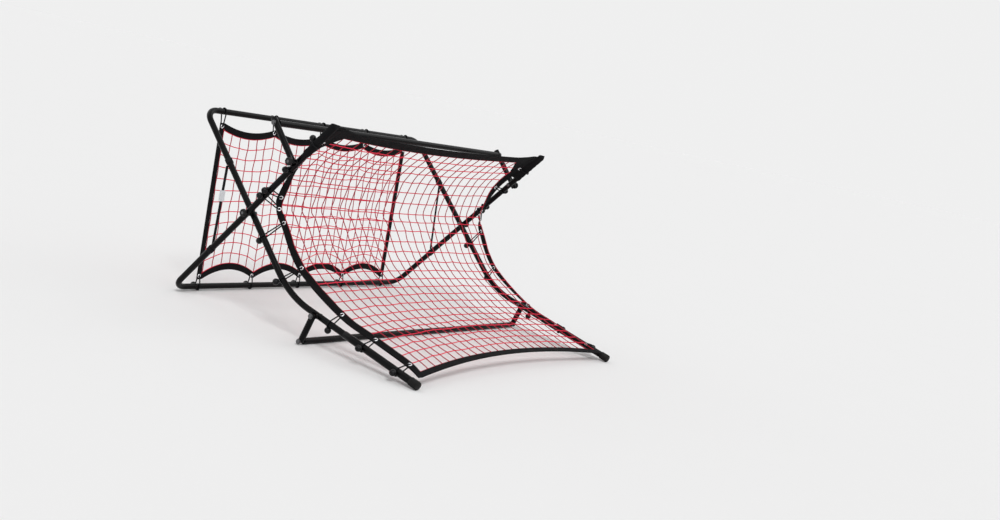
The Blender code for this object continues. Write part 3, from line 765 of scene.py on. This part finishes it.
def frontCap(side, sign):
    # a ribbed rubber cup, worn flat where it stands on the ground
    shape = Shape()
    low = capRadius - capLook["deep"]
    length = plan["capLength"] + tubeSizes["fit"]
    mouth = at(braceX * sign, frontTip - braceFront * (plan["capLength"] - plan["capWall"]))
    profile = [(0.004, frontRadius + 0.0001), (0.0, frontRadius + 0.0002), (0.0, capRadius - 0.0004),
               (0.0006, capRadius), (0.0030, capRadius), (0.0036, low)]
    for rib in range(capLook["ribs"]):
        start = capLook["first"] + rib * capLook["pitch"]
        profile += [(start, low), (start + 0.0006, capRadius), (start + 0.0032, capRadius),
                    (start + 0.0038, low)]
    profile += [(length - 0.0022, capRadius - 0.0002), (length - 0.0008, capRadius - 0.0010),
                (length, capRadius - 0.0026), (length, 0.0010)]
    turned(shape, mouth, at(0, braceFront), profile, capLook["sides"])
    onGround(shape.points)
    shape.piece("front_cap_" + side, "brace_frame", ["rubber"])


for side, sign in sides:
    frontCap(side, sign)
print("bolts and caps made")


# Front net's edges


netSizes = dict(web=0.022, topWeb=0.036, sheet=0.0036, seams=(-0.72, 0.72), topSag=0.028, bottomSag=0.052,
                tipGap=0.004, topInset=0.012, bottomInset=0.020, bottomRise=0.014, steps=14, bandSteps=120,
                pocketWall=0.0015, flare=0.011, flareLength=0.24, rise=0.011, riseShare=0.13)
pocketLook = dict(reach=0.128, end=0.007, slant=0.002, thread=0.0024, lap=-0.0035, hem=0.0006, hemWide=0.007,
                  pucker=0.0004, puckers=330, flat=0.82, closings=(0.35, 0.7, 1.0), rings=20, arc=22, run=5,
                  nose=4, seams=(0.005, 0.008, 0.064), stitch=0.0026, shortest=0.0012)
halfWeb = netSizes["web"] / 2
halfTopWeb = netSizes["topWeb"] / 2
pocketRadius = tubeSeat + netSizes["pocketWall"]
pocketStart = (uprightTip - scissor).length - pocketLook["reach"]
# each place: how far along the tube, inboard and over it the eyelet is, and the ball's way, out and over
frontTies = (
    dict(origin=scissor, along=uprightAlong, over=uprightFront, x=uprightX, body="upright_frame",
         places=((0.338, 0.033, -0.008, (0.0, -1.0)), (0.215, 0.034, -0.013, (1.0, 0.0)),
                 (0.1135, 0.034, 0.022, (1.0, 0.0)), (0.0885, 0.034, 0.046, (1.0, 0.0)))),
    dict(origin=scissor, along=braceDown, over=braceOver, x=braceX, body="brace_frame",
         places=((0.0853, 0.020, 0.077, (0.0, -1.0)), (0.2330, 0.028, 0.060, (1.0, -1.0)))),
    dict(origin=braceBend, along=braceFront, over=frontOver, x=braceX, body="brace_frame",
         places=((0.178, 0.036, 0.028, (0.0, -1.0)), (0.318, 0.040, 0.022, (1.0, 0.0)),
                 (0.455, 0.042, 0.018, (1.0, 0.0)))))
tieList = []
for group in frontTies:
    for station, inboard, lift, (outShare, overShare) in group["places"]:
        place = group["origin"] + group["along"] * station
        held = tubeRadius
        if group["origin"] is braceBend and station > plan["frontStart"]:
            held = frontRadius
        if group["body"] == "upright_frame" and station > pocketStart:
            held = pocketRadius + pocketLook["hem"]
        tieList.append(dict(seat=at(group["x"], place), axis=at(0, group["along"]), body=group["body"],
                            eye=at(group["x"] - inboard, place + group["over"] * lift), held=held,
                            ball=right * outShare + at(0, group["over"]) * overShare))


def smoothed(points, pulls, steps):
    # a curve through the tie points, with the way each is pulled
    dense = []
    count = len(points)
    for index in range(count - 1):
        near = [max(index - 1, 0), index, index + 1, min(index + 2, count - 1)]
        for t in spread(1, steps)[:-1]:
            weights = (-t ** 3 + 2 * t ** 2 - t, 3 * t ** 3 - 5 * t ** 2 + 2, -3 * t ** 3 + 4 * t ** 2 + t,
                       t ** 3 - t ** 2)
            spot = Vector((0, 0, 0))
            pull = Vector((0, 0, 0))
            for weight, which in zip(weights, near):
                spot += points[which] * weight / 2
                pull += pulls[which] * weight / 2
            dense.append((spot, pull.normalized()))
    dense.append((points[-1], pulls[-1]))
    return dense


edgeTop = uprightTip - uprightAlong * netSizes["topInset"]
edgeBottom = frontTip - braceFront * netSizes["bottomInset"] + frontOver * netSizes["bottomRise"]
edgePoints = [at(uprightX - pocketRadius - tubeSizes["fit"] - halfWeb, edgeTop)]
edgePoints += [tie["eye"] for tie in tieList]
edgePoints += [at(braceX - capRadius - halfWeb - netSizes["tipGap"], edgeBottom)]
edgePulls = [right] + [(tie["seat"] - tie["eye"]).normalized() for tie in tieList] + [right]
edgeLine = smoothed(edgePoints, edgePulls, netSizes["steps"])
edgeRuns = runs([spot for spot, pull in edgeLine])
edgeTotal = edgeRuns[-1]


def onEdge(distance):
    distance = min(max(distance, 0.0), edgeTotal)
    index = 0
    while edgeRuns[index + 1] < distance and index < len(edgeRuns) - 2:
        index += 1
    share = (distance - edgeRuns[index]) / (edgeRuns[index + 1] - edgeRuns[index])
    return (edgeLine[index][0].lerp(edgeLine[index + 1][0], share),
            edgeLine[index][1].lerp(edgeLine[index + 1][1], share).normalized())


def webReach(distance):
    # the side webbing widens inwards as it nears the corner pocket
    near = max(0.0, 1 - distance / netSizes["flareLength"])
    return halfWeb + netSizes["flare"] * near * near * (3 - 2 * near)


def frontAt(u, distance):
    spot, pull = onEdge(distance)
    inner = spot - pull * webReach(distance)
    return Vector((u * inner.x, inner.y, inner.z))


def topLine(u):
    return halfTopWeb + netSizes["topSag"] * (1 - u * u)


def bottomLine(u):
    return edgeTotal - halfWeb - netSizes["bottomSag"] * (1 - u * u)


def folded(thing):
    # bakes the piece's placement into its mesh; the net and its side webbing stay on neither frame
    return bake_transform(thing)


def tipRise(u):
    # the top webbing's upper edge climbs to the tubes' tips
    near = max(0.0, (abs(u) - 1 + netSizes["riseShare"]) / netSizes["riseShare"])
    return at(0, uprightAlong) * netSizes["rise"] * near ** 1.6


def band(name, body, centres, widths):
    shape = Shape()
    ribbon(shape, centres, widths, netSizes["sheet"])
    stitches(shape, centres, widths, netSizes["sheet"], netSizes["seams"])
    return shape.piece(name, body, ["webbing", "thread"])


def frontBand(name, line, body, half, rise=None):
    centres = []
    widths = []
    for step in range(netSizes["bandSteps"] + 1):
        u = -1 + 2 * step / netSizes["bandSteps"]
        low = frontAt(u, line(u) - half) + (rise(u) if rise else Vector())
        high = frontAt(u, line(u) + half)
        centres.append((low + high) / 2)
        widths.append((high - low) / 2)
    band(name, body, centres, widths)


frontBand("front_band_top", topLine, "upright_frame", halfTopWeb, tipRise)
frontBand("front_band_bottom", bottomLine, "brace_frame", halfWeb)
for side, sign in sides:
    flip = mirrored(sign)
    centres = []
    widths = []
    for (spot, pull), distance in zip(edgeLine, edgeRuns):
        centres.append((spot + pull * (halfWeb - webReach(distance)) / 2) * flip)
        widths.append(pull * flip * (halfWeb + webReach(distance)) / 2)
    folded(band("front_band_" + side, None, centres, widths))
print("front webbing made")


# Nets of knotted twine


netLook = dict(frontCells=(24, 25), rearCells=(24, 12), steps=3, radius=0.0015, tuck=0.0045, end=0.0008,
               sides=7, knot=0.0024, slack=0.0016, bow=0.0009)
random.seed(11)


def netting(shape, surface, tucked, columns, rows):
    # surface(u, v) has u and v from 0 to 1; strings sway a little between knots and end inside the webbing
    knots = {}
    for a in range(columns + 1):
        for b in range(rows + 1):
            knots[a, b] = Vector([random.uniform(-1, 1) * netLook["slack"] for axis in range(3)]) * (
                0.0 if a in (0, columns) or b in (0, rows) else 1.0)

    def sway(u, v):
        a = u * columns
        b = v * rows
        lowA = min(int(a), columns - 1)
        lowB = min(int(b), rows - 1)
        near = knots[lowA, lowB].lerp(knots[lowA + 1, lowB], a - lowA)
        far = knots[lowA, lowB + 1].lerp(knots[lowA + 1, lowB + 1], a - lowA)
        return near.lerp(far, b - lowB)

    steps = netLook["steps"]
    for across, lines, cells in ((0, columns, rows), (1, rows, columns)):
        for line in range(lines + 1):
            points = [tucked(line / lines, across, 0)]
            for step in range(cells * steps + 1):
                share = step / (cells * steps)
                u, v = (share, line / lines) if across else (line / lines, share)
                bow = math.sin(math.pi * (step % steps) / steps) * netLook["bow"]
                bow *= 1 if (line + step // steps) % 2 else -1
                points.append(surface(u, v) + sway(u, v)
                              + Vector((bow, 0, -abs(bow))) * (0.5 if across else 1.0))
            points.append(tucked(line / lines, across, 1))
            radii = [netLook["end"]] + [netLook["radius"]] * (len(points) - 2) + [netLook["end"]]
            # the upright strings (kind 1) take the darker twine, a painted shade
            pipe(shape, points, radii, netLook["sides"], kind=0 if across else 1)
    for a in range(1, columns):
        for b in range(1, rows):
            runU = surface((a + 0.5) / columns, b / rows) - surface((a - 0.5) / columns, b / rows)
            runV = surface(a / columns, (b + 0.5) / rows) - surface(a / columns, (b - 0.5) / rows)
            knot(shape, surface(a / columns, b / rows) + knots[a, b], runU.normalized(), runV.normalized(),
                 1 if (a + b) % 2 else -1)


def knot(shape, spot, runU, runV, hand):
    # the crossing's lump: two turns of twine on the slant
    slant = (runU + runV * hand).normalized()
    normal = runU.cross(runV).normalized()
    size = netLook["knot"]
    rings = [circle(spot + slant * reach * size, slant.cross(normal), normal * 0.85, radius * size, 8)
             for reach, radius in ((-1.0, 0.35), (-0.75, 0.85), (-0.40, 1.0), (-0.12, 0.72), (0.12, 0.72),
                                   (0.40, 1.0), (0.75, 0.85), (1.0, 0.35))]
    shape.rings(rings, [size * k / 3 for k in range(8)], [size * 0.8 * k for k in range(9)])


def frontEnds(u):
    return topLine(u) + halfTopWeb, bottomLine(u) - halfWeb


def frontSurface(u, v):
    start, end = frontEnds(2 * u - 1)
    return frontAt(2 * u - 1, start + (end - start) * v)


def frontTucked(place, across, far):
    # where a string's end lies, inside the webbing
    u = 2 * far - 1 if across else 2 * place - 1
    start, end = frontEnds(u)
    if not across:
        return frontAt(u, end + netLook["tuck"] if far else start - netLook["tuck"])
    distance = start + (end - start) * place
    spot, pull = onEdge(distance)
    return (spot - pull * (webReach(distance) - netLook["tuck"])) * mirrored(u)


shape = Shape()
netting(shape, frontSurface, frontTucked, *netLook["frontCells"])
folded(shape.piece("front_net", None, ["courses", "columns"]))
print("front net made")


# Rear net


rearSizes = dict(inset=0.030, ties=5, topDrop=0.047, topScallop=0.020, baseRise=0.034, baseScallop=0.032,
                 steps=64, hem=0.0085, hemSteps=40)
rearHalf = braceX - tubeSizes["bend"] - rearSizes["inset"]
topEye = topRail.y - rearSizes["topDrop"]
baseEye = baseRail.y + rearSizes["baseRise"]
tieGap = 2 * rearHalf / (rearSizes["ties"] - 1)
rearBandHalf = rearHalf - halfWeb


def rearAt(x, z):
    share = (z - baseRail.y) / (topRail.y - baseRail.y)
    return Vector((x, baseRail.x + (topRail.x - baseRail.x) * share, z))


rearUp = (rearAt(0, topEye) - rearAt(0, baseEye)).normalized()


def scallop(x):
    share = ((x / rearBandHalf + 1) * (rearSizes["ties"] - 1) / 2) % 1
    return 4 * share * (1 - share)


def rearTop(x):
    return topEye - rearSizes["topScallop"] * scallop(x)


def rearBase(x):
    return baseEye + rearSizes["baseScallop"] * scallop(x)


def rearFold(thing):
    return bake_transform(thing, "brace_frame", "upright_frame", rearAt(0, topEye), rearAt(0, baseEye))


for name, line, body in (("rear_band_top", rearTop, "brace_frame"),
                         ("rear_band_base", rearBase, "upright_frame")):
    places = [-rearBandHalf + reach for reach in spread(2 * rearBandHalf, rearSizes["steps"])]
    band(name, body, [rearAt(x, line(x)) for x in places], [rearUp * halfWeb for x in places])
for side, sign in sides:
    heights = [baseEye - halfWeb + rise
               for rise in spread(topEye - baseEye + 2 * halfWeb, rearSizes["hemSteps"])]
    rearFold(band("rear_hem_" + side, None, [rearAt(rearHalf * sign, height) for height in heights],
                  [right * rearSizes["hem"] * sign for height in heights]))


def rearSurface(u, v):
    x = (-1 + 2 * u) * rearBandHalf
    start = rearTop(x) - halfWeb
    end = rearBase(x) + halfWeb
    return rearAt(x, start + (end - start) * v)


def rearTucked(place, across, far):
    u, v = (far, place) if across else (place, far)
    return rearSurface(u, v) + (right if across else -rearUp) * (2 * far - 1) * netLook["tuck"]


shape = Shape()
netting(shape, rearSurface, rearTucked, *netLook["rearCells"])
rearFold(shape.piece("rear_net", None, ["courses", "columns"]))
print("rear net made")


# Elastic ties


tieLook = dict(sides=10, turn=math.radians(12), ballSides=28, tail=0.006, step=0.012, bend=math.radians(85),
               bendSteps=10, eyeletSides=30, eyeShift=0.001, rearSheet=1.05)


def elasticTie(cords, balls, seat, eye, axis, ballWay, held):
    loop = held + 0.0001 + cordSizes["radius"]
    toward = eye - seat
    toward -= axis * toward.dot(axis)
    reach = toward.length
    toward.normalize()
    across = axis.cross(toward)
    ballAngle = math.atan2(ballWay.dot(across), ballWay.dot(toward)) % math.tau

    def around(angle):
        return toward * math.cos(angle) + across * math.sin(angle)

    def arc(start, end):
        count = max(1, math.ceil(abs(end - start) / tieLook["turn"]))
        return [seat + around(start + turn) * loop for turn in spread(end - start, count)]

    quarter = math.pi / 2
    first = ballAngle - cordSizes["mouth"]
    last = ballAngle + cordSizes["mouth"] - math.tau
    middle = around(ballAngle)
    bend = tieLook["bend"]
    points = arc(first, quarter) if first > quarter else [seat + around(first) * loop]
    points += [seat + toward * (reach - cordSizes["end"]) + around(bend - turn) * cordSizes["end"]
               for turn in spread(2 * bend, tieLook["bendSteps"])]
    points += arc(-quarter, last) if last < -quarter else [seat + around(last) * loop]
    tail = middle * tieLook["tail"]
    points = [points[0] + tail] + points + [points[-1] + tail]
    pipe(cords, subdivided(points, tieLook["step"]), cordSizes["radius"], tieLook["sides"], flat=axis)
    ball = cordSizes["ball"]
    base = seat + middle * (held + tubeSizes["fit"] + ball)
    profile = []
    for angle in spread(math.pi, 18)[:-2]:
        height = -math.cos(angle) * ball
        seam = 0.00018 if abs(height) < 0.0004 else 0.0
        profile.append((height, max(math.sin(angle) * ball, 0.0006) + seam))
    dent = [(ball * 0.955, 0.0032), (ball * 0.93, 0.0028), (ball * 0.55, 0.0024), (ball * 0.55, 0.0004)]
    turned(balls, base, middle, profile + dent, tieLook["ballSides"])
    turned(cords, base + middle * ball * 0.55, middle,
           [(0.0, 0.0008), (0.0008, 0.0021), (0.0026, 0.0023), (0.0040, 0.0017), (0.0046, 0.0004)], 12)


def eyelet(shape, centre, way, thickness):
    for face in (-1, 1):
        hoop(shape, centre + way * face * thickness / 2, way * face,
             [(-0.0002, 0.0034), (0.0004, 0.0034), (0.0009, 0.0040), (0.0010, 0.0050), (0.0006, 0.0060),
              (-0.0002, 0.0064)], tieLook["eyeletSides"])


def tieSet(label, body, ties, eyelets, replaces=None):
    cords = Shape()
    balls = Shape()
    rings = Shape()
    for tie, ring in zip(ties, eyelets):
        elasticTie(cords, balls, *tie)
        eyelet(rings, *ring)
    if replaces:
        onGround(cords.points + balls.points)
    cords.piece(label + "_cords", body, ["elastic"], replaces)
    balls.piece(label + "_balls", body, ["ball"])
    rings.piece(label + "_eyelets", body, ["eyelet"])


for body in ("upright_frame", "brace_frame"):
    for side, sign in sides:
        ties = []
        eyelets = []
        flip = mirrored(sign)
        for tie in tieList:
            if tie["body"] == body:
                eye = tie["eye"]
                ties.append([tie["seat"] * flip, eye * flip, tie["axis"], tie["ball"] * flip, tie["held"]])
                nearest = min(range(len(edgeLine)), key=lambda index: (edgeLine[index][0] - eye).length)
                spot, pull = edgeLine[nearest]
                way = edgeLine[min(nearest + 1, len(edgeLine) - 1)][0] - edgeLine[max(nearest - 1, 0)][0]
                eyelets.append([(spot - pull * tieLook["eyeShift"]) * flip,
                                way.cross(pull).normalized() * flip, netSizes["sheet"]])
        tieSet(body.split("_")[0] + "_ties_" + side, body, ties, eyelets)
for label, body, rail, height in (("top_tie", "brace_frame", topRail, topEye),
                                  ("base_tie", "upright_frame", baseRail, baseEye)):
    numbers = range(rearSizes["ties"])
    places = [-rearHalf + tieGap * number for number in numbers]
    ties = [[at(x, rail), rearAt(x, height), right, Vector((0, 1, 0)), tubeRadius] for x in places]
    eyelets = [[rearAt(x, height), right.cross(rearUp), netSizes["sheet"] * tieLook["rearSheet"]]
               for x in places]
    tieSet(label, body, ties, eyelets, ["%s_%d" % (label, number + 1) for number in numbers])
print("elastic ties made")


# Corner pockets and check straps


tipAt = at(uprightX, uprightTip)
tipAlong = at(0, uprightAlong)
tipOver = at(0, uprightFront)


def edgeBeside(station):
    # the side webbing's middle, level with a place on the tube: inboard and over
    places = [(tipAt - spot).dot(tipAlong) for spot, pull in edgeLine]
    index = 0
    while places[index + 1] < station:
        index += 1
    share = max(0.0, (station - places[index]) / (places[index + 1] - places[index]))
    spot = edgeLine[index][0].lerp(edgeLine[index + 1][0], share)
    return uprightX - spot.x + pocketLook["lap"], (spot - tipAt).dot(tipOver)


def sleeveRing(radius, thin, inboard, lift):
    # a drop shape: round over the tube, drawn in to the webbing beside it
    reach = math.hypot(inboard, lift)
    lean = math.atan2(lift, inboard)
    gape = math.acos((radius - thin) / reach)

    def arc(start, turn, size, count):
        return [heading(start + angle) * size for angle in spread(turn, count)]

    ring = arc(lean + gape, math.tau - 2 * gape, radius, pocketLook["arc"])
    nose = [Vector((inboard, lift)) + spot for spot in arc(lean - gape, 2 * gape, thin, pocketLook["nose"])]
    shares = spread(1, pocketLook["run"])[1:-1]
    return (ring + [ring[-1].lerp(nose[0], share) for share in shares] + nose
            + [nose[-1].lerp(ring[0], share) for share in shares])


def cornerPocket(side, sign):
    # a sewn sleeve over the tube's end that takes in the side webbing and is closed flat above the tip
    shape = Shape()
    flip = mirrored(sign)
    hem = pocketLook["hem"]
    length = pocketLook["reach"]
    stations = [length - 0.0001, length - 0.0018] + spread(length, pocketLook["rings"])[-2::-1]
    closings = [0.0] * len(stations) + [*pocketLook["closings"]]
    stations += [-pocketLook["end"] * closing for closing in pocketLook["closings"]]
    rings = []
    for station, closing in zip(stations, closings):
        inboard, lift = edgeBeside(station)
        pucker = pocketLook["pucker"] * math.sin(station * pocketLook["puckers"])
        pucker += hem if station > length - pocketLook["hemWide"] else 0.0
        ring = sleeveRing(pocketRadius + pucker, pocketLook["thread"] + pucker, inboard, lift)
        flat = 1 - pocketLook["flat"] * closing ** 1.5
        points = []
        for spot in ring:
            outward = max(0.0, 1 - (spot.x + pocketRadius) / (inboard + pocketRadius))
            lean = lift * spot.x / inboard
            along = pocketLook["slant"] * closing * outward - station
            points.append((tipAt + tipAlong * along - right * spot.x
                           + tipOver * (lean + (spot.y - lean) * flat)) * flip)
        rings.append(points)
    shape.rings(rings, [length - station for station in stations],
                runs([Vector((spot.x, spot.y, 0)) for spot in ring + ring[:1]]))
    for seam in pocketLook["seams"]:
        ring = sleeveRing(pocketRadius + hem, pocketLook["thread"] + hem, *edgeBeside(length - seam))
        start = tipAt - tipAlong * (length - seam)
        for before, after in zip(ring, ring[1:] + ring[:1]):
            if (after - before).length > pocketLook["shortest"]:
                middle = (before + after) / 2
                way = (after - before).normalized()
                thread(shape, (start - right * middle.x + tipOver * middle.y) * flip,
                       (tipOver * way.y - right * way.x) * flip,
                       (-tipOver * way.x - right * way.y) * flip, pocketLook["stitch"])
    shape.piece("corner_pocket_" + side, "upright_frame", ["webbing", "thread"])


patchLook = dict(along=0.085, down=0.10, thick=0.0023, thin=0.0006, curve=1.2, lap=0.4, gap=0.002,
                 rows=16, columns=10, pitch=0.008, seams=(0.82, 0.92))


def cornerPatch(side, sign):
    # a second layer of cloth in the net's upper corner
    shape = Shape()
    flip = mirrored(sign)
    rings = []
    centres = []
    widths = []
    down = patchLook["down"]
    thins = [patchLook["thick"] - patchLook["thin"] * share ** 6 for share in spread(1, patchLook["columns"])]
    for share in spread(1, patchLook["rows"]):
        fade = 1 - share
        spot, pull = onEdge(share * down)
        first = (spot.x + halfWeb * patchLook["lap"]) / frontAt(1, share * down).x
        last = 1 - fade ** patchLook["curve"] * patchLook["along"] / uprightX - patchLook["gap"]
        front = []
        for reach in spread(last - first, patchLook["columns"]):
            near = min(first + reach, 1.0)
            front.append(frontAt(first + reach, (topLine(near) - halfTopWeb) * fade + share * down)
                         + tipRise(near) * fade ** 3)
        centres.append((front[0] + front[-1]) / 2 * flip)
        widths.append((front[-1] - front[0]) / 2 * flip)
        ring = [point + tipOver * thin for point, thin in zip(front, thins)]
        ring += [point - tipOver * thin for point, thin in zip(front, thins)][::-1]
        rings.append([point * flip for point in ring])
    around = [patchLook["pitch"] * step for step in range(len(rings[0]) + 1)]
    shape.rings(rings, spread(down, patchLook["rows"]), around)
    stitches(shape, centres, widths, patchLook["thick"] * 2, patchLook["seams"])
    shape.piece("corner_patch_" + side, "upright_frame", ["webbing", "thread"])


strapLook = dict(half=0.0052, thick=0.0014, station=0.191, lean=0.006, steps=24, sewn=6,
                 seams=(-0.5, 0.0, 0.5), loop=0.0016, loopHalf=0.0085, loopSeams=(-0.78, 0.78),
                 loopStitches=15)
tagLook = dict(place=0.38, length=0.034, half=0.011, thick=0.0026, wave=0.0006, steps=10, seam=0.86)


def strapLoop(name, body, centre, way):
    # a sewn loop round the tube, which the strap's end is stitched to
    shape = Shape()
    low = tubeRadius + 0.0002
    high = low + strapLook["loop"]
    wide = strapLook["loopHalf"]
    hoop(shape, centre, way, [(-wide, low), (-wide, high - 0.0005), (-wide + 0.0006, high),
                              (wide - 0.0006, high), (wide, high - 0.0005), (wide, low)], 40)
    for place in strapLook["loopSeams"]:
        for outward in circle(Vector((0, 0, 0)), right, way.cross(right), 1.0, strapLook["loopStitches"]):
            thread(shape, centre + way * wide * place + outward * high, way.cross(outward), outward, 0.0030)
    shape.piece(name, body, ["strap", "thread"])


def checkStrap(side, sign):
    shape = Shape()
    x = (braceX + uprightX) / 2 * sign
    upper = scissor + braceUp * strapLook["station"]
    lower = scissor - uprightAlong * strapLook["station"]
    way = (lower - upper).normalized()
    start = upper + way * tubeSeat / abs(way.x * braceUp.y - way.y * braceUp.x)
    end = lower - way * tubeSeat / abs(way.x * uprightAlong.y - way.y * uprightAlong.x)
    lean = strapLook["lean"] * sign
    centres = [at(x + lean * (2 * share - 1), start + (end - start) * share)
               for share in spread(1, strapLook["steps"])]
    widths = [right * strapLook["half"] * sign for point in centres]
    ribbon(shape, centres, widths, strapLook["thick"])
    for part in (slice(0, strapLook["sewn"]), slice(-strapLook["sewn"], None)):
        stitches(shape, centres[part], widths[part], strapLook["thick"], strapLook["seams"])
    strap = shape.piece("check_strap_" + side, None, ["strap", "thread"])
    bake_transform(strap)
    strapLoop("strap_loop_upper_" + side, "brace_frame", at(braceX * sign, upper), at(0, braceUp))
    strapLoop("strap_loop_lower_" + side, "upright_frame", at(uprightX * sign, lower), at(0, uprightAlong))
    if side == "left":
        strapTag(x + lean * (2 * tagLook["place"] - 1), start, end)


def strapTag(x, start, end):
    # a blank cloth tag, folded round the strap and sewn across
    shape = Shape()
    middle = start.lerp(end, tagLook["place"])
    way = (end - start).normalized() * tagLook["length"]
    count = tagLook["steps"]
    centres = [at(x, middle + way * (step / count - 0.5)) + right * tagLook["wave"] * math.sin(step * 0.9)
               for step in range(count + 1)]
    widths = [right * tagLook["half"] for point in centres]
    ribbon(shape, centres, widths, tagLook["thick"])
    stitches(shape, centres, widths, tagLook["thick"], (tagLook["seam"],), kind=0)
    tag = shape.piece("strap_tag", None, ["tag"])
    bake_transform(tag)


for side, sign in sides:
    cornerPocket(side, sign)
    cornerPatch(side, sign)
    checkStrap(side, sign)
print("pockets and straps made")

print("scene ready")
